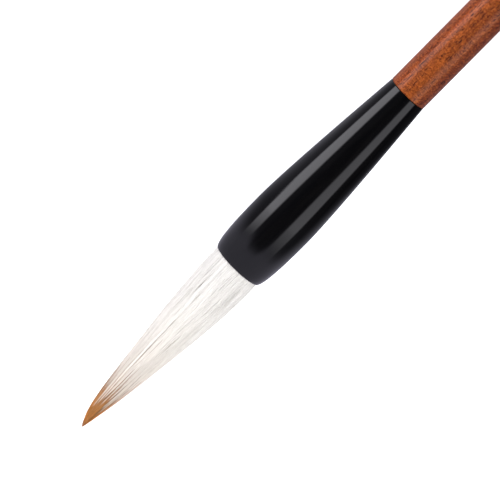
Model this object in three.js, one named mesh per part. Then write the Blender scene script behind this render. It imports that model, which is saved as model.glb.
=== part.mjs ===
// Calligraphy brush with a mixed-hair tuft, hanging tip down from its tail.
// Millimetres, +Z up. The origin is the hanging point, in the middle of the tail cap's top face.

import * as THREE from 'three';

// ---- driving dimensions ----

const capLength = 12;
const woodLength = 167;
const ferruleLength = 58;
const hairLength = 55;

const handleRadius = 5.12;
const ferruleBellyRadius = 8.02;
const ferruleBellyHeight = 15.5; // above the mouth
const lipRadius = 6.7; // outside of the ferrule at its mouth
const mouthRadius = 6.5; // inside of the ferrule at its mouth
const mouthSocketDepth = 18.2;
const frontTenonRadius = 3.2;
const frontTenonLength = 15;
const rearTenonRadius = 2.6;
const rearTenonLength = 8;

const cordHoleRadius = 1.2;
const knotRoomRadius = 1.8;
const knotRoomLength = 4;
const capTopRadius = 3.4;
const capSwell = 0.35;

const rootDepth = 15; // how far the hair roots go into the ferrule
const rootRadius = 6.2;
const sealThickness = 1.3;
const glueThickness = 1;
const waistRadius = 5.2; // where the thread binds the roots
const waistTop = 12.4; // above the mouth
const waistLength = 3.6;
const threadRadius = 0.22;
const threadTurns = 3;
const threadPitch = 0.8;

const coreRadius = 2.2;
const bellyRadius = 4.3;
const bellyCover = 1.1; // cover hair over the belly hair, with the gap
const coreCover = 0.55; // cover hair over the core near its end, with the gap

// Depths below the mouth where the layers start to taper and where the shorter ones end.
const bellyTaper = 22;
const bellyEnd = 32;
const coverCloses = 4; // how far past the belly hair the cover hair takes to close on the core
const coreTaper = 38;
const coverEnd = 47.5;

const pivotDepth = 16.5; // below the mouth, where the tuft bends
const rimDepth = 12; // below the mouth, where the split comes to the surface

const gap = 0.3; // between touching pieces
const sides = 36;

// ---- heights, measured up the axis ----

const woodTop = -capLength;
const ferruleTop = woodTop - woodLength;
const mouth = ferruleTop - ferruleLength;
const pivot = mouth - pivotDepth;

// ---- materials ----

const rosewood = new THREE.MeshStandardMaterial({ color: 0x9a4a27, roughness: 0.45, metalness: 0 });
const blackHorn = new THREE.MeshStandardMaterial({ color: 0x0c0c0e, roughness: 0.12, metalness: 0 });
const goatHair = new THREE.MeshStandardMaterial({ color: 0xf2eee8, roughness: 0.7, metalness: 0 });
const weaselHair = new THREE.MeshStandardMaterial({ color: 0xa9703f, roughness: 0.6, metalness: 0 });
const silkThread = new THREE.MeshStandardMaterial({ color: 0xb3261e, roughness: 0.6, metalness: 0 });
const rosin = new THREE.MeshStandardMaterial({ color: 0x7a4413, roughness: 0.3, metalness: 0 });
const adhesive = new THREE.MeshStandardMaterial({ color: 0xd9c79a, roughness: 0.5, metalness: 0 });

// ---- outlines: each point is [radius, height] ----

function bend(from, corner, to, steps) {
  const curve = new THREE.QuadraticBezierCurve(...[from, corner, to].map((p) => new THREE.Vector2(...p)));
  return curve.getPoints(steps).map((p) => [p.x, p.y]);
}

// Outline of the whole tuft by depth below the mouth: full at the ferrule, then drawn out to a point.
const tuftOutline = [
  ...bend([6.47, 0], [7.05, 9.6], [3.6, 36.9], 24),
  ...bend([3.6, 36.9], [1.755, 51.5], [0, hairLength], 24).slice(1),
];

function tuftRadius(depth) {
  const next = Math.max(1, tuftOutline.findIndex(([, d]) => d >= depth));
  const [r0, d0] = tuftOutline[next - 1];
  const [r1, d1] = tuftOutline[next];
  return r0 + ((r1 - r0) * (depth - d0)) / (d1 - d0);
}

const coreEndRadius = tuftRadius(coverEnd) - coreCover;

function coreOutside(depth) {
  if (depth > coverEnd) {
    return Math.min(coreEndRadius, tuftRadius(depth));
  }
  return Math.min(coreRadius, tuftRadius(depth) - coreCover);
}

function bellyOutside(depth) {
  return Math.min(bellyRadius, tuftRadius(depth) - bellyCover);
}

// Past the end of the belly hair the cover hair closes down on to the core.
function coverInside(depth) {
  const overCore = coreOutside(depth) + gap;
  const closed = (depth - bellyEnd) / coverCloses;
  const overBelly = bellyOutside(Math.min(depth, bellyEnd)) + gap;
  if (closed <= 0) {
    return overBelly;
  }
  return Math.max(overCore, overBelly + (overCore - overBelly) * Math.min(closed, 1));
}

// Points down a layer from one depth to another, both included.
function along(radiusAt, fromDepth, toDepth, steps) {
  const points = [];
  for (let i = 0; i <= steps; i += 1) {
    const depth = fromDepth + ((toDepth - fromDepth) * i) / steps;
    points.push([radiusAt(depth), mouth - depth]);
  }
  return points;
}

// The tuft turns like a ball in a cup: both sides of the split are spheres about the pivot.
const ballRadius = Math.hypot(tuftRadius(rimDepth), pivotDepth - rimDepth);
const cupRadius = ballRadius + gap;

function onSphere(sphereRadius, fromRadius, toRadius, steps) {
  const points = [];
  const from = Math.asin(fromRadius / sphereRadius);
  const to = Math.asin(toRadius / sphereRadius);
  for (let i = 0; i <= steps; i += 1) {
    const angle = from + ((to - from) * i) / steps;
    points.push([sphereRadius * Math.sin(angle), pivot + sphereRadius * Math.cos(angle)]);
  }
  return points;
}

// ---- shapes ----

// A turned piece. The outline runs up the outside, and for a ring back down the inside.
function turned(name, material, outline) {
  const first = outline[0];
  const last = outline[outline.length - 1];
  const closesOnAxis = first[0] === 0 && last[0] === 0;
  const points = closesOnAxis ? outline : [...outline, first];
  const geometry = new THREE.LatheGeometry(points.map((p) => new THREE.Vector2(...p)), sides);
  geometry.rotateX(Math.PI / 2);
  return named(name, geometry, material);
}

function named(name, geometry, material) {
  const mesh = new THREE.Mesh(geometry, material);
  mesh.name = name;
  return mesh;
}

// Rod with a tenon for the ferrule at the front and a socket for the cap at the back.
function handleShaft() {
  const shoulder = ferruleTop + gap;
  const top = woodTop - gap;
  const socketRadius = rearTenonRadius + gap;
  const socketFloor = woodTop - rearTenonLength - gap;
  return turned('handle_shaft', rosewood, [
    [0, ferruleTop - frontTenonLength],
    [frontTenonRadius - 0.4, ferruleTop - frontTenonLength],
    [frontTenonRadius, ferruleTop - frontTenonLength + 0.4],
    [frontTenonRadius, shoulder],
    [handleRadius, shoulder],
    [handleRadius, top],
    [socketRadius, top],
    [socketRadius, socketFloor],
    [0, socketFloor],
  ]);
}

// Bell with a wide socket for the hair in its mouth and a narrow one for the handle behind.
function ferruleCup() {
  const mouthFloor = mouth + mouthSocketDepth;
  const rearSocketRadius = frontTenonRadius + gap;
  const rearFloor = ferruleTop - frontTenonLength - gap;
  const belly = [ferruleBellyRadius, mouth + ferruleBellyHeight];
  return turned('ferrule_cup', blackHorn, [
    [0, mouthFloor],
    [mouthRadius, mouthFloor],
    [mouthRadius, mouth + 0.1],
    [mouthRadius + 0.1, mouth],
    ...bend([lipRadius, mouth], [ferruleBellyRadius, mouth + 1.5], belly, 7),
    ...bend(belly, [ferruleBellyRadius, mouth + 24.2], [handleRadius, ferruleTop], 8).slice(1),
    [rearSocketRadius, ferruleTop],
    [rearSocketRadius, rearFloor],
    [0, rearFloor],
  ]);
}

// Cap with a turned groove, a slight swell and a rounded end, bored for the knotted cord.
function tailCap() {
  const tenonEnd = woodTop - rearTenonLength;
  const knotRoomTop = tenonEnd + knotRoomLength;
  const swell = handleRadius + capSwell;
  const waist = handleRadius - 0.35;
  return turned('tail_cap', blackHorn, [
    [knotRoomRadius, tenonEnd],
    [rearTenonRadius, tenonEnd],
    [rearTenonRadius, woodTop],
    [handleRadius, woodTop],
    [handleRadius, woodTop + 1.2],
    [waist, woodTop + 1.6],
    [handleRadius, woodTop + 2],
    ...bend([handleRadius, woodTop + 2.2], [swell, woodTop + 4], [swell, woodTop + 7], 3).slice(1),
    ...bend([swell, woodTop + 7], [swell, 0], [capTopRadius, 0], 6).slice(1),
    [cordHoleRadius + 0.4, 0],
    [cordHoleRadius, -0.4],
    [cordHoleRadius, knotRoomTop + 0.6],
    [knotRoomRadius, knotRoomTop],
  ]);
}

function disc(name, material, radius, bottom, thickness) {
  return turned(name, material, [
    [0, bottom],
    [radius, bottom],
    [radius, bottom + thickness],
    [0, bottom + thickness],
  ]);
}

// Thread wound round the waist of the roots, its turns side by side and just clear of each other.
function rootThread() {
  const windingRadius = waistRadius + gap + threadRadius;
  const start = mouth + waistTop - (waistLength - threadTurns * threadPitch) / 2;
  class Winding extends THREE.Curve {
    getPoint(t, target = new THREE.Vector3()) {
      const angle = 2 * Math.PI * threadTurns * t;
      const height = start - threadTurns * threadPitch * t;
      return target.set(windingRadius * Math.cos(angle), windingRadius * Math.sin(angle), height);
    }
  }
  const section = new THREE.Shape();
  section.absarc(0, 0, threadRadius, 0, 2 * Math.PI);
  const geometry = new THREE.ExtrudeGeometry(section, {
    steps: 18 * threadTurns,
    curveSegments: 6,
    extrudePath: new Winding(),
  });
  return named('root_thread', geometry, silkThread);
}

// ---- hair: each layer is a glued root part and a free part, split at the ball and cup ----

function coreHair() {
  const rootTop = mouth + rootDepth;
  const root = turned('core_hair_root', weaselHair, [
    ...onSphere(cupRadius, 0, coreRadius, 2),
    [coreRadius, rootTop],
    [0, rootTop],
  ]);
  const edge = onSphere(ballRadius, coreRadius, 0, 2);
  const free = turned('core_hair_free', weaselHair, [
    ...along(coreOutside, hairLength, coverEnd, 6),
    ...along(coreOutside, coverEnd, coreTaper, 4).slice(1),
    ...edge,
  ]);
  return [root, free];
}

function bellyHair() {
  const rootTop = mouth + rootDepth;
  const inside = coreRadius + gap;
  const root = turned('belly_hair_root', goatHair, [
    ...onSphere(cupRadius, inside, bellyRadius, 3),
    [bellyRadius, rootTop],
    [inside, rootTop],
  ]);
  const free = turned('belly_hair_free', goatHair, [
    [inside, mouth - bellyEnd],
    ...along(bellyOutside, bellyEnd, bellyTaper, 4),
    ...onSphere(ballRadius, bellyRadius, inside, 3),
  ]);
  return [root, free];
}

function coverHair() {
  const rootTop = mouth + rootDepth;
  const inside = bellyRadius + gap;
  const rim = tuftRadius(rimDepth);
  const root = turned('cover_hair_root', goatHair, [
    ...onSphere(cupRadius, inside, rim, 3),
    ...along(tuftRadius, rimDepth - 3, gap, 3),
    [rootRadius, mouth],
    [rootRadius, mouth + waistTop - waistLength],
    [waistRadius, mouth + waistTop - waistLength],
    [waistRadius, mouth + waistTop],
    [rootRadius, mouth + waistTop],
    [rootRadius, rootTop],
    [inside, rootTop],
  ]);
  const free = turned('cover_hair_free', goatHair, [
    ...along(tuftRadius, coverEnd, rimDepth + 1.5, 11),
    ...onSphere(ballRadius, rim, inside, 3),
    ...along(coverInside, bellyTaper, bellyEnd, 3),
    ...along(coverInside, bellyEnd + coverCloses, coverEnd, 5),
  ]);
  return [root, free];
}

// ---- the brush ----

const brush = new THREE.Group();
brush.add(handleShaft());
brush.add(ferruleCup());
brush.add(tailCap());
const rootTop = mouth + rootDepth;
brush.add(disc('root_seal', rosin, rootRadius - 0.1, rootTop + gap, sealThickness));
brush.add(disc('root_adhesive', adhesive, rootRadius, rootTop + sealThickness + 2 * gap, glueThickness));
brush.add(rootThread());
brush.add(...coreHair());
brush.add(...bellyHair());
brush.add(...coverHair());

export default brush;
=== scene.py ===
"""The looks of a calligraphy brush that hangs tip down: a turned black horn ferrule and tail cap, a
polished rosewood handle, and a tuft of separate white and brown hairs."""

import math

import bpy
import numpy as np
from mathutils import Matrix, Vector


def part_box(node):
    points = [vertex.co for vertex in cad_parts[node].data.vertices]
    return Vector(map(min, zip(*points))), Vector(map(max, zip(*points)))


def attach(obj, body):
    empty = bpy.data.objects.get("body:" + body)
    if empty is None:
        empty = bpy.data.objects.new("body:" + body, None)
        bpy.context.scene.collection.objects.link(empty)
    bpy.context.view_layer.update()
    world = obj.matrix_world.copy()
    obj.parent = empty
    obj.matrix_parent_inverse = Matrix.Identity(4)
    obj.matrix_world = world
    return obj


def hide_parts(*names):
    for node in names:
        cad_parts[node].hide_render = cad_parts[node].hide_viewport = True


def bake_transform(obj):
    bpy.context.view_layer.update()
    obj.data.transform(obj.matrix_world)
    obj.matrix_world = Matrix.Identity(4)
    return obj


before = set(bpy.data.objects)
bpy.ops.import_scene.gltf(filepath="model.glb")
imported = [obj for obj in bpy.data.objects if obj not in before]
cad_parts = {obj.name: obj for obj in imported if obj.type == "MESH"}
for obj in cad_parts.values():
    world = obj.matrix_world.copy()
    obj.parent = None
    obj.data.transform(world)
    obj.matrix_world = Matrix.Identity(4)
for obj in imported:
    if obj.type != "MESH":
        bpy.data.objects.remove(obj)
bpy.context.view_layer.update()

MM = 0.001
TURN = 2 * math.pi

# ---- places, from the frame, in metres ----

ferrule_low, ferrule_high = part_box("ferrule_cup")
handle_low, handle_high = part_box("handle_shaft")
cap_low, cap_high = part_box("tail_cap")
tip_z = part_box("core_hair_free")[0].z
mouth_z = ferrule_low.z
joint_z = ferrule_high.z
belly_radius = ferrule_high.x
handle_radius = handle_high.x
hair_length = (mouth_z - tip_z) / MM  # in millimetres, as the sizes below

# ---- sizes in millimetres, as in the CAD model ----

BELLY_HEIGHT = 15.5  # of the ferrule's widest place, above its mouth
LIP_RADIUS = 6.7
FERRULE_BENDS = (1.5, 24.2)  # heights of the two corners its outline is drawn towards
MOUTH_RADIUS = 6.5
SOCKET_DEPTH = 18.2
FRONT_SOCKET = (3.5, 15.3)  # radius and depth
FRONT_TENON_RADIUS = 3.2
REAR_TENON_RADIUS = 2.6
REAR_TENON_LENGTH = 8
CORD_HOLE_RADIUS = 1.2
KNOT_ROOM = (1.8, 4)  # radius and length
CAP_TOP_RADIUS = 3.4
CAP_SWELL = 0.35
GLUE = 0.3  # between a tenon and its socket

SIDES = 192  # of a turned piece


# ---- outlines and turned pieces ----


def bend(a, corner, b, steps):
    """Points of a quadratic curve from a to b that aims at corner, both ends included."""
    t = np.linspace(0, 1, steps + 1)[:, None]
    a, corner, b = (np.array(p, float) for p in (a, corner, b))
    return (1 - t) ** 2 * a + 2 * t * (1 - t) * corner + t**2 * b


def mesh_piece(name, vertices, faces, material, uvs):
    """A smooth-shaded mesh object. uvs holds one pair for each corner of each face, in order."""
    mesh = bpy.data.meshes.new(name)
    mesh.from_pydata([tuple(v) for v in vertices], [], [tuple(f) for f in faces])
    layer = mesh.uv_layers.new(name="OFBake")
    layer.data.foreach_set("uv", np.asarray(uvs, np.float32).ravel())
    mesh.materials.append(material)
    mesh.shade_smooth()
    mesh.validate()
    piece = bpy.data.objects.new(name, mesh)
    bpy.context.scene.collection.objects.link(piece)
    return piece


def turned(name, outline, base_z, material):
    """A turned solid. The outline is (radius, height above base_z) in millimetres. It runs up the outside,
    and it starts and ends on the axis or closes on itself."""
    points = np.array([tuple(p) for p in outline], float)
    on_axis = points[0][0] == 0 and points[-1][0] == 0
    ring = points[1:-1] if on_axis else points
    angles = np.arange(SIDES) * TURN / SIDES
    x = np.outer(np.cos(angles), ring[:, 0]) * MM
    y = np.outer(np.sin(angles), ring[:, 0]) * MM
    z = np.broadcast_to(ring[:, 1] * MM + base_z, x.shape)
    vertices = np.stack([x, y, z], -1).reshape(-1, 3).tolist()
    count = len(ring)
    lengths = np.r_[0, np.cumsum(np.linalg.norm(np.diff(points, axis=0), axis=1))]
    along = lengths / lengths[-1]
    shift = 1 if on_axis else 0
    if on_axis:
        vertices += [(0, 0, points[0][1] * MM + base_z), (0, 0, points[-1][1] * MM + base_z)]
    faces, uvs = [], []
    for i in range(SIDES):
        a, b = i * count, ((i + 1) % SIDES) * count
        u0, u1 = i / SIDES, (i + 1) / SIDES
        for j in range(count - 1 if on_axis else count):
            k = (j + 1) % count
            v0 = along[j + shift]
            v1 = along[j + 1 + shift] if j + 1 + shift < len(along) else 1.0
            faces.append((a + j, b + j, b + k, a + k))
            uvs += [(u0, v0), (u1, v0), (u1, v1), (u0, v1)]
        if on_axis:
            bottom, top = SIDES * count, SIDES * count + 1
            faces.append((bottom, b, a))
            uvs += [(u0, 0), (u1, along[1]), (u0, along[1])]
            faces.append((top, a + count - 1, b + count - 1))
            uvs += [(u0, 1), (u0, along[-2]), (u1, along[-2])]
    piece = mesh_piece(name, vertices, faces, material, uvs)
    piece.data.set_sharp_from_angle(angle=math.radians(35))
    return piece


# ---- material nodes ----


class Nodes:
    """Short ways to add nodes to one node tree."""

    def __init__(self, tree):
        self.tree = tree

    def add(self, kind, **settings):
        node = self.tree.nodes.new(kind)
        for key, value in settings.items():
            setattr(node, key, value)
        return node

    def link(self, source, target):
        self.tree.links.new(source, target)

    def feed(self, socket, value):
        if isinstance(value, bpy.types.NodeSocket):
            self.link(value, socket)
        else:
            socket.default_value = value

    def math(self, operation, a, b=0.0):
        node = self.add("ShaderNodeMath", operation=operation)
        self.feed(node.inputs[0], a)
        self.feed(node.inputs[1], b)
        return node.outputs[0]

    def scaled(self, vector, scale):
        node = self.add("ShaderNodeVectorMath", operation="MULTIPLY")
        self.feed(node.inputs[0], vector)
        node.inputs[1].default_value = scale
        return node.outputs[0]

    def noise(self, vector, scale=1.0, detail=2.0, roughness=0.5, distortion=0.0):
        node = self.add("ShaderNodeTexNoise")
        self.link(vector, node.inputs["Vector"])
        node.inputs["Scale"].default_value = scale
        node.inputs["Detail"].default_value = detail
        node.inputs["Roughness"].default_value = roughness
        node.inputs["Distortion"].default_value = distortion
        return node.outputs["Fac"]

    def stretch(self, value, low, high, to_low=0.0, to_high=1.0):
        """Maps low..high to to_low..to_high, clamped and eased."""
        node = self.add("ShaderNodeMapRange", interpolation_type="SMOOTHSTEP")
        self.link(value, node.inputs["Value"])
        sockets = ("From Min", "From Max", "To Min", "To Max")
        for socket, number in zip(sockets, (low, high, to_low, to_high)):
            node.inputs[socket].default_value = number
        return node.outputs["Result"]

    def mix(self, factor, a, b, blend="MIX"):
        node = self.add("ShaderNodeMix", data_type="RGBA", blend_type=blend, clamp_factor=False)
        self.feed(node.inputs[0], factor)
        self.feed(node.inputs[6], a if isinstance(a, bpy.types.NodeSocket) else (*a, 1))
        self.feed(node.inputs[7], b if isinstance(b, bpy.types.NodeSocket) else (*b, 1))
        return node.outputs[2]

    def ramp(self, factor, stops):
        node = self.add("ShaderNodeValToRGB")
        self.link(factor, node.inputs[0])
        elements = node.color_ramp.elements
        while len(elements) < len(stops):
            elements.new(0.5)
        for element, (position, colour) in zip(elements, stops):
            element.position = position
            element.color = (*colour, 1)
        return node.outputs[0]


class Finish(Nodes):
    """The nodes of a new material, round its Principled shader."""

    def __init__(self, name):
        self.material = bpy.data.materials.new(name)
        self.material.use_nodes = True
        super().__init__(self.material.node_tree)
        self.shader = self.tree.nodes["Principled BSDF"]

    def bump(self, height, strength, distance):
        node = self.add("ShaderNodeBump")
        self.link(height, node.inputs["Height"])
        node.inputs["Strength"].default_value = strength
        node.inputs["Distance"].default_value = distance
        self.link(node.outputs[0], self.shader.inputs["Normal"])

    def set(self, **values):
        for key, value in values.items():
            self.feed(self.shader.inputs[key.replace("_", " ")], value)


def millimetres(nodes):
    """The point in the brush's own frame, in millimetres."""
    coordinates = nodes.add("ShaderNodeTexCoord").outputs["Object"]
    return nodes.scaled(coordinates, (1000, 1000, 1000))


def horn_material():
    """Polished black horn with faint fibres along it, smudges and fine wear."""
    nodes = Finish("black_horn")
    point = millimetres(nodes)
    fibres = nodes.noise(nodes.scaled(point, (1.1, 1.1, 0.05)), detail=4)
    colour = nodes.ramp(fibres, [(0.35, (0.0010, 0.0010, 0.0013)), (0.75, (0.0026, 0.0024, 0.0025))])
    smudges = nodes.noise(nodes.scaled(point, (0.12, 0.12, 0.07)), detail=3)
    wear = nodes.noise(nodes.scaled(point, (2.5, 2.5, 0.6)), detail=5, roughness=0.7)
    polish = nodes.stretch(smudges, 0.3, 0.7, 0.07, 0.1)
    roughness = nodes.math("ADD", polish, nodes.stretch(wear, 0.4, 0.9, 0.0, 0.04))
    nodes.set(Base_Color=colour, Roughness=roughness, IOR=1.52)
    nodes.bump(nodes.math("ADD", fibres, nodes.math("MULTIPLY", wear, 0.3)), 0.12, 0.02 * MM)
    return nodes.material


def wood_material():
    """Lacquered rosewood: zones of colour side by side across X, lighter towards -X and darker towards +X,
    partly the wood's own bands and partly painted light and shade of light falling from the -X side; streaks
    along the grain, a curly figure and pores.
    """
    nodes = Finish("rosewood")
    point = millimetres(nodes)
    bands = nodes.noise(nodes.scaled(point, (0.33, 0.33, 0.012)), detail=3, distortion=0.4)
    grain = nodes.noise(nodes.scaled(point, (2.2, 2.2, 0.05)), detail=4, roughness=0.6)
    curl = nodes.noise(nodes.scaled(point, (0.75, 0.75, 1.6)), detail=3, roughness=0.6, distortion=1.6)
    fine = nodes.noise(nodes.scaled(point, (1.9, 1.9, 3.4)), detail=3, roughness=0.8, distortion=1.1)
    lines = nodes.noise(nodes.scaled(point, (4.2, 4.2, 0.07)), detail=2, roughness=0.5)
    across = nodes.add("ShaderNodeSeparateXYZ")
    nodes.link(point, across.inputs[0])
    wobble = nodes.stretch(bands, 0.3, 0.7, -0.05, 0.05)
    # The zones run across X and are partly the wood's own bands, partly painted shade: lighter towards -X,
    # darker towards +X, as if light fell from the -X side.
    from_left = nodes.math("ADD", nodes.math("MULTIPLY", across.outputs["X"], 0.1), 0.5)
    zone_with_painted_shade = nodes.math("ADD", from_left, wobble)
    body = nodes.ramp(
        zone_with_painted_shade,
        [
            (0.05, (0.290, 0.075, 0.0300)),
            (0.12, (0.200, 0.037, 0.0100)),
            (0.22, (0.290, 0.054, 0.0075)),
            (0.36, (0.250, 0.056, 0.0100)),
            (0.50, (0.195, 0.039, 0.0025)),
            (0.63, (0.150, 0.031, 0.0030)),
            (0.73, (0.190, 0.043, 0.0060)),
            (0.80, (0.097, 0.017, 0.0070)),
            (0.95, (0.105, 0.022, 0.0120)),
        ],
    )
    streaked = nodes.mix(nodes.stretch(grain, 0.42, 0.60, 0.0, 0.5), body, (0.075, 0.013, 0.003))
    streaked = nodes.mix(nodes.stretch(lines, 0.50, 0.62, 0.0, 0.45), streaked, (0.070, 0.012, 0.003))
    lighter = nodes.mix(1.0, streaked, (0.055, 0.016, 0.002), blend="ADD")
    figured = nodes.mix(nodes.stretch(curl, 0.46, 0.56, 0.0, 1.3), streaked, lighter)
    brighter = nodes.mix(1.0, figured, (0.05, 0.012, 0.003), blend="ADD")
    flecked = nodes.mix(nodes.stretch(fine, 0.51, 0.57, 0.0, 2.8), figured, brighter)
    mottled = nodes.mix(nodes.stretch(fine, 0.39, 0.46, 0.85, 0.0), flecked, (0.060, 0.009, 0.002))
    pores = pore_mask(nodes, point)
    colour = nodes.mix(pores, mottled, (0.015, 0.004, 0.003))
    in_pores = nodes.math("MULTIPLY", pores, 0.2)
    roughness = nodes.math("ADD", nodes.stretch(fine, 0.3, 0.7, 0.45, 0.55), in_pores)
    nodes.set(Base_Color=colour, Roughness=roughness, Specular_IOR_Level=0.12)
    nodes.set(Coat_Weight=0.42, Coat_Roughness=0.15)
    height = nodes.math("SUBTRACT", nodes.math("MULTIPLY", fine, 0.5), pores)
    nodes.bump(height, 0.5, 0.04 * MM)
    return nodes.material


def pore_mask(nodes, point):
    """Short dark vessels that run along the grain, in some places more than in others."""
    cells = nodes.add("ShaderNodeTexVoronoi", feature="F1")
    wander = nodes.noise(nodes.scaled(point, (0.4, 0.4, 0.15)), detail=2)
    shifted = nodes.add("ShaderNodeVectorMath", operation="ADD")
    nodes.link(nodes.scaled(point, (2.9, 2.9, 0.40)), shifted.inputs[0])
    nodes.link(wander, shifted.inputs[1])
    nodes.link(shifted.outputs[0], cells.inputs["Vector"])
    cells.inputs["Scale"].default_value = 1.0
    near = nodes.stretch(cells.outputs["Distance"], 0.25, 0.33, 0.9, 0.0)
    kept = nodes.add("ShaderNodeSeparateColor")
    nodes.link(cells.outputs["Color"], kept.inputs[0])
    crowd = nodes.noise(nodes.scaled(point, (0.5, 0.5, 0.07)), detail=2)
    chance = nodes.math("ADD", kept.outputs[0], nodes.stretch(crowd, 0.42, 0.62))
    chosen = nodes.math("GREATER_THAN", chance, 1.1)
    return nodes.math("MULTIPLY", near, chosen)


def hair_material(name, stops, roughness, shade):
    """Hair whose colour runs along its length by the stops. shade is how much darker than that a hair, or a
    stretch of it, can be."""
    nodes = Finish(name)
    depth = nodes.add("ShaderNodeAttribute", attribute_name="depth").outputs["Fac"]
    tone = nodes.add("ShaderNodeAttribute", attribute_name="tone").outputs["Fac"]
    patch = nodes.add("ShaderNodeCombineXYZ")
    nodes.link(nodes.math("MULTIPLY", tone, 57.0), patch.inputs[0])
    nodes.link(nodes.math("MULTIPLY", depth, 26.0), patch.inputs[1])
    cloud = nodes.noise(patch.outputs[0], detail=3)
    shifted = nodes.math("ADD", depth, nodes.stretch(cloud, 0.25, 0.75, -0.05, 0.05))
    colour = nodes.ramp(shifted, stops)
    dark_hair = nodes.stretch(tone, 0.0, 1.0, shade, 0.0)
    dark_stretch = nodes.stretch(cloud, 0.45, 0.75, 0.0, shade)
    colour = nodes.mix(nodes.math("ADD", dark_hair, dark_stretch), colour, (0.0, 0.0, 0.0))
    gloss = nodes.stretch(cloud, 0.2, 0.8, roughness - 0.06, roughness + 0.06)
    nodes.set(Base_Color=colour, Roughness=gloss, Specular_IOR_Level=0.3)
    return nodes.material


def plain_inner_material(name, colour, other, scale, roughness):
    """A mottled finish for a piece inside the ferrule."""
    nodes = Finish(name)
    cloud = nodes.noise(nodes.scaled(millimetres(nodes), scale), detail=3)
    nodes.set(Base_Color=nodes.mix(cloud, colour, other))
    nodes.set(Roughness=nodes.stretch(cloud, 0.3, 0.7, roughness, roughness + 0.15))
    nodes.bump(cloud, 0.3, 0.05 * MM)
    return nodes.material


# ---- rigid pieces ----


def make_ferrule(material):
    """The bell, its edge at the wood a hair's breadth proud."""
    length = (joint_z - mouth_z) / MM
    belly = (belly_radius / MM, BELLY_HEIGHT)
    radius = handle_radius / MM
    socket_radius, socket_depth = FRONT_SOCKET
    edge = 0.1
    proud = 0.01
    outline = [
        (0, SOCKET_DEPTH),
        (MOUTH_RADIUS, SOCKET_DEPTH),
        (MOUTH_RADIUS, edge),
        *bend((MOUTH_RADIUS, edge), (MOUTH_RADIUS, 0), (MOUTH_RADIUS + edge, 0), 4)[1:],
        *bend((LIP_RADIUS, 0), (belly[0], FERRULE_BENDS[0]), belly, 36),
        *bend(belly, (belly[0], FERRULE_BENDS[1]), (radius, length), 36)[1:-1],
        (radius + proud, length - edge),
        (radius + proud - edge, length),
        (socket_radius, length),
        (socket_radius, length - socket_depth),
        (0, length - socket_depth),
    ]
    return turned("horn_ferrule", outline, mouth_z, material)


def make_handle(material):
    """The rod with its tenon and socket, and a thin seam at each end."""
    lower_seam, upper_seam = 0.08, 0.03
    shoulder = (joint_z - handle_low.z) / MM + lower_seam
    top = (cap_low.z + REAR_TENON_LENGTH * MM - handle_low.z) / MM - upper_seam
    radius = handle_radius / MM
    socket = REAR_TENON_RADIUS + GLUE
    floor = (cap_low.z - handle_low.z) / MM - GLUE
    tenon_edge = 0.4
    edge = 0.12
    rings = 60
    step = (top - shoulder - 2 * edge) / rings
    outline = [
        (0, 0),
        (FRONT_TENON_RADIUS - tenon_edge, 0),
        (FRONT_TENON_RADIUS, tenon_edge),
        (FRONT_TENON_RADIUS, shoulder),
        (radius - edge, shoulder),
        (radius, shoulder + edge),
        *[(radius, shoulder + edge + step * i) for i in range(1, rings)],
        (radius, top - edge),
        (radius - edge, top),
        (socket, top),
        (socket, floor),
        (0, floor),
    ]
    return turned("rosewood_handle", outline, handle_low.z, material)


def make_tail_cap(material):
    """The cap with its tenon, a groove, a slight swell and a rounded end, bored for a knotted cord."""
    joint = REAR_TENON_LENGTH
    top = (cap_high.z - cap_low.z) / MM
    radius = handle_radius / MM
    swell = radius + CAP_SWELL
    room_radius, room_length = KNOT_ROOM
    edge = 0.08
    groove, groove_end = joint + 1.1, joint + 2.1
    groove_pull = (radius - 0.7, (groove + groove_end) / 2)
    hole_round = 0.4
    rim = CORD_HOLE_RADIUS + hole_round
    outline = [
        (room_radius, 0),
        (REAR_TENON_RADIUS, 0),
        (REAR_TENON_RADIUS, joint),
        (radius - edge, joint),
        (radius, joint + edge),
        (radius, groove),
        *bend((radius, groove), groove_pull, (radius, groove_end), 8)[1:],
        *bend((radius, joint + 2.2), (swell, joint + 4), (swell, joint + 7), 14)[1:],
        *bend((swell, joint + 7), (swell, top), (CAP_TOP_RADIUS, top), 24)[1:],
        *bend((rim, top), (CORD_HOLE_RADIUS, top), (CORD_HOLE_RADIUS, top - hole_round), 6),
        (CORD_HOLE_RADIUS, room_length + 0.6),
        (room_radius, room_length),
    ]
    return turned("horn_tail_cap", outline, cap_low.z, material)


# ---- hair ----

TONES = 64  # shades of hair, each with a column of the texture map
HAIR_SIDES = 4
BORE = MOUTH_RADIUS - 0.06  # that the hair fills
NARROWS = (3.6, 36.9)  # radius and depth where the tuft starts to draw in to its point
TUFT_OUTLINE = np.vstack(
    [
        bend((6.47, 0), (7.05, 9.6), NARROWS, 60),
        bend(NARROWS, (1.90, 51.4), (0, hair_length), 60)[1:],
    ]
)
LEAN = 0.14  # of the whole tuft towards +X
POINT_LENGTH = 7
POINT_CURL = 0.61

PARTINGS = 27
SLITS = 3  # in each parting
TRESSES = 3  # in each lock between two partings


def tuft_radius(depth):
    """Radius of the whole tuft in millimetres at a depth below the mouth, and above that, of the bore."""
    outside = np.interp(depth, TUFT_OUTLINE[:, 1], TUFT_OUTLINE[:, 0])
    return np.where(depth < 0, BORE, np.minimum(outside, BORE + np.maximum(depth, 0)))


def tip_curl(depth):
    """How far the tuft, and past that its very point, leans over to +X, in millimetres."""
    point = np.clip((depth - (hair_length - POINT_LENGTH)) / POINT_LENGTH, 0, 1)
    return LEAN * ease(depth, 0, 12) + POINT_CURL * point**2


def to_metres(radius, angle, depth):
    x = radius * np.cos(angle) + tip_curl(depth)
    y = radius * np.sin(angle)
    return np.stack([x * MM, y * MM, mouth_z - depth * MM], -1)


def ease(value, low, high):
    t = np.clip((value - low) / (high - low), 0, 1)
    return t * t * (3 - 2 * t)


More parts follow.
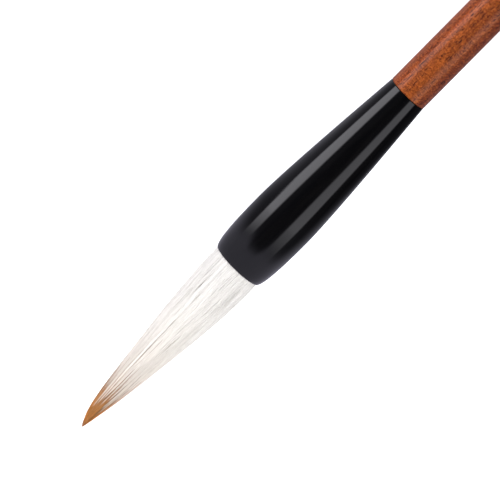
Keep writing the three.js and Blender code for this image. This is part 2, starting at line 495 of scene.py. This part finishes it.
def strands(name, material, depth, radius, angle, thickness, tone):
    """One mesh of many tapered hairs. The arrays hold a row for each hair and a column for each ring along
    it: depth and radius place its middle line, angle is round the brush, and thickness is the hair's radius,
    all in millimetres and radians. tone is from 0 to 1, one for each hair."""
    hairs, rings = depth.shape
    middle = to_metres(radius, angle, depth)
    outward = np.stack([np.cos(angle), np.sin(angle), np.zeros_like(angle)], -1)
    sideways = np.stack([-np.sin(angle), np.cos(angle), np.zeros_like(angle)], -1)
    turn = np.arange(HAIR_SIDES) * TURN / HAIR_SIDES
    around = (
        outward[:, :, None, :] * np.cos(turn)[None, None, :, None]
        + sideways[:, :, None, :] * np.sin(turn)[None, None, :, None]
    )
    vertices = middle[:, :, None, :] + around * (thickness * MM)[:, :, None, None]
    index = np.arange(hairs * rings * HAIR_SIDES).reshape(hairs, rings, HAIR_SIDES)
    following = np.roll(index, -1, axis=2)
    walls = np.stack([index[:, :-1], index[:, 1:], following[:, 1:], following[:, :-1]], -1).reshape(-1, 4)
    ends = np.stack([index[:, 0], index[:, -1, ::-1]], 1).reshape(-1, 4)
    faces = np.vstack([walls, ends])
    mesh = bpy.data.meshes.new(name)
    mesh.vertices.add(vertices.size // 3)
    mesh.vertices.foreach_set("co", vertices.astype(np.float32).ravel())
    mesh.loops.add(faces.size)
    mesh.loops.foreach_set("vertex_index", faces.astype(np.int32).ravel())
    mesh.polygons.add(len(faces))
    mesh.polygons.foreach_set("loop_start", np.arange(0, faces.size, 4, dtype=np.int32))
    tones = np.repeat(np.round(tone * (TONES - 1)) / (TONES - 1), rings * HAIR_SIDES)
    depths = np.repeat(np.clip(depth / hair_length, 0, 1).ravel(), HAIR_SIDES)
    point_values(mesh, "tone", tones)
    point_values(mesh, "depth", depths)
    uvs = hair_uvs(tones, depths, faces, len(walls))
    mesh.uv_layers.new(name="OFBake").data.foreach_set("uv", uvs.astype(np.float32).ravel())
    mesh.materials.append(material)
    mesh.update(calc_edges=True)
    mesh.shade_smooth()
    piece = bpy.data.objects.new(name, mesh)
    bpy.context.scene.collection.objects.link(piece)
    return piece


def point_values(mesh, name, values):
    mesh.attributes.new(name, "FLOAT", "POINT").data.foreach_set("value", values.astype(np.float32))


def hair_uvs(tones, depths, faces, walls):
    """Each shade of hair has its own column of the map, and the depth runs up it. The first faces, as many as
    walls says, are the hairs' sides, and the rest their ends."""
    column = np.round(tones * (TONES - 1))[faces]
    across = np.tile([0.2, 0.2, 0.8, 0.8], (len(faces), 1))
    across[walls:] = [0.2, 0.8, 0.8, 0.2]
    return np.stack([(column + across) / TONES, 0.01 + 0.98 * depths[faces]], -1)


def make_filling(material):
    """The mass of hair under the separate strands: a lofted body whose shallow furrows run to the point."""
    rings, sides = 90, 240
    top, bottom = -3, hair_length - 1.2
    depth = top + (bottom - top) * np.linspace(0, 1, rings)
    angle = np.arange(sides) * TURN / sides
    rng = np.random.default_rng(5)
    counts = (7, 11, 17, 23, 31, 43)
    furrows = sum(np.cos(n * angle + rng.uniform(0, TURN)) * rng.uniform(0.4, 1.0) for n in counts)
    share = 0.86 - 0.03 * ease(depth, 36, 50)  # of the whole tuft's radius
    radius = tuft_radius(depth)[:, None] * (share[:, None] + 0.006 * furrows[None, :])
    around = np.broadcast_to(angle, radius.shape)
    points = to_metres(radius, around, np.broadcast_to(depth[:, None], radius.shape))
    index = np.arange(rings * sides).reshape(rings, sides)
    following = np.roll(index, -1, axis=1)
    walls = np.stack([index[:-1], index[1:], following[1:], following[:-1]], -1).reshape(-1, 4)
    faces = [*walls.tolist(), index[0].tolist(), index[-1, ::-1].tolist()]
    u = np.arange(sides + 1) / sides
    v = np.clip(depth / hair_length, 0, 1)
    uvs = []
    for j in range(rings - 1):
        for i in range(sides):
            uvs += [(u[i], v[j]), (u[i], v[j + 1]), (u[i + 1], v[j + 1]), (u[i + 1], v[j])]
    uvs += [(u[i], v[0]) for i in range(sides)] + [(u[i], v[-1]) for i in range(sides)]
    piece = mesh_piece("hair_filling", points.reshape(-1, 3), faces, material, uvs)
    tone = 0.5 + 0.5 * np.sin(9 * angle) * np.sin(23 * angle + 1)
    point_values(piece.data, "depth", np.repeat(v, sides))
    point_values(piece.data, "tone", np.tile(tone, rings))
    return piece


def waves(rng, count, depth, sizes):
    """A slow sideways wander for each of count things, from waves of the given (length, height)."""
    total = np.zeros((count, depth.shape[1]))
    for length, height in sizes:
        phase = rng.uniform(0, TURN, (count, 1))
        wave = length * rng.uniform(0.7, 1.4, (count, 1))
        total += height * rng.normal(0, 0.6, (count, 1)) * np.sin(TURN * depth / wave + phase)
    return total


class Partings:
    """The lines where the cover hair parts into locks, and how wide each is open, at any depth: in a few
    short slits near the mouth, and lower down all the way to the locks' ends."""

    def __init__(self):
        rng = np.random.default_rng(11)
        self.angle = (np.arange(PARTINGS) + rng.uniform(-0.25, 0.25, PARTINGS)) * TURN / PARTINGS
        self.phase = rng.uniform(0, TURN, (2, PARTINGS))
        self.sway = rng.normal(0, 1, (2, PARTINGS)) * np.array([[0.055], [0.030]])
        self.slit_middle = rng.uniform(0, 27, (SLITS, PARTINGS))
        self.slit_half = rng.uniform(0.6, 1.7, (SLITS, PARTINGS))
        self.slit_width = 0.36 * rng.uniform(0, 1, (SLITS, PARTINGS)) ** 1.6
        self.low_start = rng.uniform(21, 32, PARTINGS)
        self.low_width = rng.uniform(0.10, 0.26, PARTINGS)
        self.lock_end = rng.normal(0, 1.8, PARTINGS)

    def at(self, index, depth):
        """Angle and half the open width in millimetres of each indexed parting, at each depth."""
        turns, index = np.divmod(index, PARTINGS)
        long_wave, short_wave = 5.5, 2.2
        sway = self.sway[0, index] * np.sin(depth / long_wave + self.phase[0, index])
        sway += self.sway[1, index] * np.sin(depth / short_wave + self.phase[1, index])
        opened = self.low_width[index] * ease(depth - self.low_start[index], 0, 10)
        for middle, half, width in zip(self.slit_middle, self.slit_half, self.slit_width):
            opened += width[index] * np.exp(-(((depth - middle[index]) / half[index]) ** 2))
        return self.angle[index] + turns * TURN + sway, opened / 2


def on_left(angle, width):
    """1 at the side that faces -X, falling to 0 on both sides of it."""
    return np.exp(-(((angle - math.pi) / width) ** 2))


def cover_strands(name, material, seed, hairs):
    """White hairs over the whole surface, in locks that part a little and draw to points at their ends."""
    rng = np.random.default_rng(seed)
    partings = Partings()
    rings, start = 18, -2.5
    lock = rng.integers(0, PARTINGS, (hairs, 1))
    place = rng.uniform(0, 1, (hairs, 1))  # across its lock
    layer = rng.uniform(0, 1, (hairs, 1)) ** 1.3  # 0 at the surface and 1 at the bottom of the layer

    # Locks end lower on the +X side, and the hairs in the middle of each end lowest. A few end halfway.
    side = partings.angle[lock]
    lock_end = 48.3 + 1.6 * np.cos(side) - 2.8 * on_left(side, 0.35) + partings.lock_end[lock]
    end = lock_end - 1.2 * np.abs(2 * place - 1) - np.abs(rng.normal(0, 2.3, (hairs, 1)))
    short = rng.uniform(0, 1, (hairs, 1)) < 0.15
    short_end = rng.uniform(24, 42, (hairs, 1))
    lowest = rng.uniform(47, 51, (hairs, 1))
    end = np.where(short, short_end, np.minimum(end, lowest))
    t = np.linspace(0, 1, rings)[None, :]
    depth = start + (end - start) * t

    # Within a lock the hairs gather into tresses, and all of them draw together at its end.
    whole = tuft_radius(depth)
    left, left_open = partings.at(lock, depth)
    right, right_open = partings.at(lock + 1, depth)
    left = left + left_open / whole
    right = right - right_open / whole
    tress = np.minimum(np.floor(place * TRESSES), TRESSES - 1)
    tress_middle = (tress + 0.5) / TRESSES
    place = place + (tress_middle - place) * (0.04 + 0.36 * ease(depth, 8, 32))
    place = 0.5 + (place - 0.5) * (1 - 0.55 * ease(depth, lock_end - 9, lock_end))
    drift = waves(rng, hairs, depth, [(24, 0.06), (10, 0.05)]) + rng.normal(0, 0.025, depth.shape)
    drift *= 1 - 0.7 * ease(depth, 15, 38)
    stray = np.where(rng.uniform(0, 1, (hairs, 1)) < 0.05, 5.0, 1.0)
    angle = left + (right - left) * place + drift * stray * ease(depth, -2, 8) / np.maximum(whole, 0.8)

    rounding = 0.02 * np.abs(2 * place - 1) ** 5 * ease(depth, 0, 14)
    thick = 0.047 * rng.uniform(0.7, 1.3, (hairs, 1)) * (1 - 0.8 * t**4)
    layer = layer * (0.08 + 0.05 * ease(depth, 20, 40))
    radius = np.maximum(whole * (1 - layer - rounding) - thick, 0.0)
    tress_tone = np.random.default_rng(12).normal(0, 0.06, (PARTINGS, TRESSES))
    tone = 0.6 + tress_tone[lock[:, 0], tress[:, 0].astype(int)] + rng.normal(0, 0.3, hairs)
    return strands(name, material, depth, radius, angle, thick, np.clip(tone, 0, 1))


def core_strands(name, material, seed, hairs):
    """Brown hairs under the white ones, which run on to make the point. A few come up among the white."""
    rng = np.random.default_rng(seed)
    rings, start = 14, 22
    angle0 = rng.uniform(0, TURN, (hairs, 1))
    layer = rng.uniform(0.15, 1.0, (hairs, 1)) ** 0.4  # 1 at the outside of the brown hair
    end = hair_length - 0.15 - np.abs(rng.normal(0, 2.4, (hairs, 1)))
    t = np.linspace(0, 1, rings)[None, :]
    depth = start + (end - start) * t
    under = 0.87 + 0.12 * ease(depth, 36, 49)
    mixed = rng.uniform(0, 1, (hairs, 1)) < 0.045 + 0.06 * on_left(angle0, 0.3)
    surfacing = rng.uniform(27, 43, (hairs, 1))
    among = 0.86 + 0.145 * ease(depth, surfacing, surfacing + 7)
    radius = tuft_radius(depth) * np.where(mixed, among, layer * under)
    drift = waves(rng, hairs, depth, [(26, 0.16), (9, 0.05)])
    angle = angle0 + drift / np.maximum(radius, 0.6)
    thick = 0.05 * rng.uniform(0.7, 1.2, (hairs, 1)) * (1 - 0.85 * t**3)
    radius = np.maximum(radius - thick, 0.0)

    # The tone changes from strip to strip round the tuft, and is darkest on the left.
    strips = 22
    strip = np.floor(angle0[:, 0] / TURN * strips).astype(int)
    tone = 0.72 + np.random.default_rng(14).normal(0, 0.3, strips)[strip] + rng.normal(0, 0.15, hairs)
    tone -= 0.3 * on_left(angle0[:, 0], 0.35)
    return strands(name, material, depth, radius, angle, thick, np.clip(tone, 0, 1))


# ---- camera, light and floor ----


def make_camera():
    """Looks slightly down the brush from its front, turned so that the brush slants up to the right."""
    elevation, slant = math.radians(10.3), math.radians(45.27)
    distance, width = 1.4, 119.0 * MM
    above_mouth, off_axis = 4.7 * MM, -0.455 * MM
    sensor = 36
    back = Vector((0, -math.cos(elevation), math.sin(elevation)))
    up = (Vector((0, 0, 1)) - back * back.z).normalized()
    side = up.cross(back)
    right = up * math.cos(slant) + side * math.sin(slant)
    top = up * math.sin(slant) - side * math.cos(slant)
    target = Vector((0, 0, mouth_z + above_mouth)) + side * off_axis
    data = bpy.data.cameras.new("camera")
    data.sensor_width = sensor
    data.lens = sensor * distance / width
    data.clip_end = 20
    camera = bpy.data.objects.new("camera", data)
    place = Matrix((right, top, back)).transposed().to_4x4()
    place.translation = target + back * distance
    camera.matrix_world = place
    bpy.context.scene.collection.objects.link(camera)
    bpy.context.scene.camera = camera


def area_light(name, direction, elevation, size, radiance):
    """A square lamp of that size in metres, which shines at the brush from just under a metre away and which
    no reflection shows. direction is in degrees round from the camera's side, positive to the right."""
    distance = 0.8
    a, e = math.radians(direction), math.radians(elevation)
    back = Vector((math.sin(a) * math.cos(e), -math.cos(a) * math.cos(e), math.sin(e)))
    data = bpy.data.lights.new(name, "AREA")
    data.shape = "SQUARE"
    data.size = size
    data.energy = radiance * size**2 * math.pi
    lamp = bpy.data.objects.new(name, data)
    lamp.location = Vector((0, 0, mouth_z + 5 * MM)) + back * distance
    lamp.rotation_euler = back.to_track_quat("Z", "Y").to_euler()
    lamp.visible_camera = False
    lamp.visible_glossy = False
    bpy.context.scene.collection.objects.link(lamp)


def make_lights():
    area_light("front_fill", -2, 25, 0.9, 2.06)
    area_light("right_fill", 75, 10, 0.8, 1.2)
    area_light("left_fill", -110, 10, 0.8, 0.25)
    area_light("back_fill", 170, 25, 0.8, 1.6)
    area_light("table_bounce", 0, -50, 1.0, 1.1)


def make_floor():
    """A plain white floor well under the tip, which only the camera sees."""
    drop = 0.12
    bpy.ops.mesh.primitive_plane_add(size=12, location=(0, 0, tip_z - drop))
    floor = bpy.context.object
    floor.name = "floor"
    nodes = Finish("floor_white")
    nodes.set(Base_Color=(0.8, 0.8, 0.8, 1), Roughness=0.9)
    nodes.set(Emission_Color=(1, 1, 1, 1), Emission_Strength=1.0)
    floor.data.materials.append(nodes.material)
    floor.visible_glossy = False
    floor.visible_diffuse = False
    floor.visible_shadow = False


# How bright the dim room is, by degrees round from the camera's side, positive to the right.
ROOM = (
    (-180, 0.40),
    (-128, 0.27),
    (-97, 0.16),
    (-80, 0.13),
    (-35, 0.07),
    (0, 0.022),
    (20, 0.03),
    (36, 0.08),
    (72, 0.09),
    (97, 0.06),
    (128, 0.30),
    (180, 0.40),
)
ROOM_TINT = (0.97, 0.96, 1.12)
BOX_TINT = (0.99, 0.98, 1.04)
TABLE = (0.56, 0.545, 0.66)


def make_world():
    """White where the camera looks past the brush. What reflections see is a dim studio with two tall soft
    boxes beside the camera and a pale table below. turn is in degrees round from the camera's side, positive
    to the right, and rise is in degrees above the horizon."""
    world = bpy.data.worlds.new("studio")
    world.use_nodes = True
    bpy.context.scene.world = world
    nodes = Nodes(world.node_tree)
    split = nodes.add("ShaderNodeSeparateXYZ")
    nodes.link(nodes.add("ShaderNodeTexCoord").outputs["Generated"], split.inputs[0])
    x, y, z = split.outputs
    turn = nodes.math("ARCTAN2", x, nodes.math("MULTIPLY", y, -1.0))
    turn = nodes.math("MULTIPLY", turn, 180 / math.pi)
    rise = nodes.math("MULTIPLY", nodes.math("ARCSINE", z), 180 / math.pi)

    # The room. All but its lowest part is lighter to the left, and darker to the right, than ROOM says.
    stops = [((degrees + 180) / 360, tuple(level * part for part in ROOM_TINT)) for degrees, level in ROOM]
    room = nodes.ramp(nodes.math("ADD", nodes.math("DIVIDE", turn, 360.0), 0.5), stops)
    slope = nodes.math("DIVIDE", nodes.math("ADD", turn, 12.0), -160)
    higher = nodes.math("MULTIPLY", nodes.stretch(rise, -8, -4), slope)
    room = nodes.mix(higher, room, nodes.mix(1.0, room, room, blend="ADD"))

    # The two soft boxes.
    left_edge = nodes.math("ADD", turn, nodes.stretch(rise, -5.5, -4, 0, 7))
    left = nodes.math("MULTIPLY", nodes.stretch(left_edge, -75, -69), nodes.stretch(turn, -46, -38, 1, 0))
    lean = nodes.math("SUBTRACT", turn, nodes.stretch(rise, -3, 0.5, 0, 4))
    right = nodes.math("MULTIPLY", nodes.stretch(lean, 30, 38), nodes.stretch(lean, 66, 72, 1, 0))
    height = nodes.math("MULTIPLY", nodes.stretch(rise, -15.5, -7.5), nodes.stretch(rise, 40, 60, 1, 0))
    boxes = nodes.math("ADD", nodes.math("MULTIPLY", left, 2.85), nodes.math("MULTIPLY", right, 1.35))
    boxes = nodes.math("MULTIPLY", boxes, height)
    lit = nodes.mix(1.0, room, nodes.mix(boxes, (0, 0, 0), BOX_TINT), blend="ADD")

    # The table, whose far edge is higher away from the camera's side.
    away = nodes.math("ABSOLUTE", turn)
    lift = nodes.math("ADD", nodes.stretch(away, 12, 40, 0, 3.0), nodes.stretch(away, 75, 125, 0, 2.5))
    below = nodes.stretch(nodes.math("SUBTRACT", rise, lift), -19, -14.5, 1, 0)
    seen = nodes.mix(below, lit, TABLE)

    background = world.node_tree.nodes["Background"]
    path = nodes.add("ShaderNodeLightPath")
    nodes.link(nodes.mix(path.outputs["Is Camera Ray"], seen, (1, 1, 1)), background.inputs["Color"])
    background.inputs["Strength"].default_value = 1.0


# ---- the brush ----

make_camera()
make_world()
make_lights()
make_floor()
bpy.context.scene.view_settings.view_transform = "Standard"

horn = horn_material()
rosewood = wood_material()
white_hair = hair_material(
    "white_hair",
    [
        (0.0, (0.86, 0.845, 0.80)),
        (0.25, (0.88, 0.857, 0.80)),
        (0.45, (0.91, 0.877, 0.805)),
        (0.66, (0.95, 0.89, 0.80)),
        (0.80, (0.95, 0.85, 0.73)),
        (0.92, (0.89, 0.73, 0.56)),
    ],
    roughness=0.5,
    shade=0.13,
)
brown_hair = hair_material(
    "brown_hair",
    [
        (0.4, (0.42, 0.31, 0.25)),
        (0.72, (0.50, 0.31, 0.20)),
        (0.84, (0.70, 0.35, 0.14)),
        (0.92, (0.80, 0.36, 0.095)),
        (1.0, (0.66, 0.25, 0.06)),
    ],
    roughness=0.42,
    shade=0.5,
)
# The filling is partly the under hair's own brown towards the point and partly painted shade: grey near the
# mouth, darker than the hair there, so that the partings between the white locks show as shadowed lines.
filling_hair_and_painted_shade = hair_material(
    "filling_hair_and_painted_shade",
    [
        (0.0, (0.42, 0.37, 0.34)),
        (0.3, (0.46, 0.37, 0.30)),
        (0.65, (0.50, 0.33, 0.22)),
        (0.85, (0.58, 0.27, 0.09)),
    ],
    roughness=0.6,
    shade=0.2,
)

for piece, node, slot_name in (
    (make_ferrule(horn), "ferrule_cup", "black_horn"),
    (make_handle(rosewood), "handle_shaft", "rosewood"),
    (make_tail_cap(horn), "tail_cap", "black_horn"),
):
    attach(piece, "brush")
    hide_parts(node)

# What is inside the ferrule keeps its CAD shape.
for node, name, colour, other, scale, roughness in (
    ("root_seal", "rosin", (0.20, 0.07, 0.015), (0.10, 0.03, 0.008), (0.5, 0.5, 0.5), 0.2),
    ("root_adhesive", "adhesive", (0.68, 0.56, 0.34), (0.55, 0.44, 0.26), (0.7, 0.7, 0.7), 0.45),
    ("root_thread", "silk_thread", (0.45, 0.03, 0.02), (0.30, 0.015, 0.012), (3, 3, 12), 0.6),
):
    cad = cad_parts[node]
    cad.data.materials.clear()
    cad.data.materials.append(plain_inner_material(name, colour, other, scale, roughness))

hair_pieces = [
    (make_filling(filling_hair_and_painted_shade), ("core_hair_root", "belly_hair_root", "belly_hair_free"), "goat_hair"),
]
for number, seed in enumerate((21, 22, 23), 1):
    piece = cover_strands(f"cover_hairs_{number}", white_hair, seed, hairs=1400)
    hair_pieces.append((piece, ("cover_hair_root", "cover_hair_free"), "goat_hair"))
core = core_strands("core_hairs", brown_hair, seed=31, hairs=1100)
hair_pieces.append((core, ("core_hair_free",), "weasel_hair"))

# Each hair piece takes its place into its mesh, and the CAD hair it stands for is hidden.
for piece, nodes_replaced, slot_name in hair_pieces:
    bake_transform(piece)
    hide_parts(*nodes_replaced)
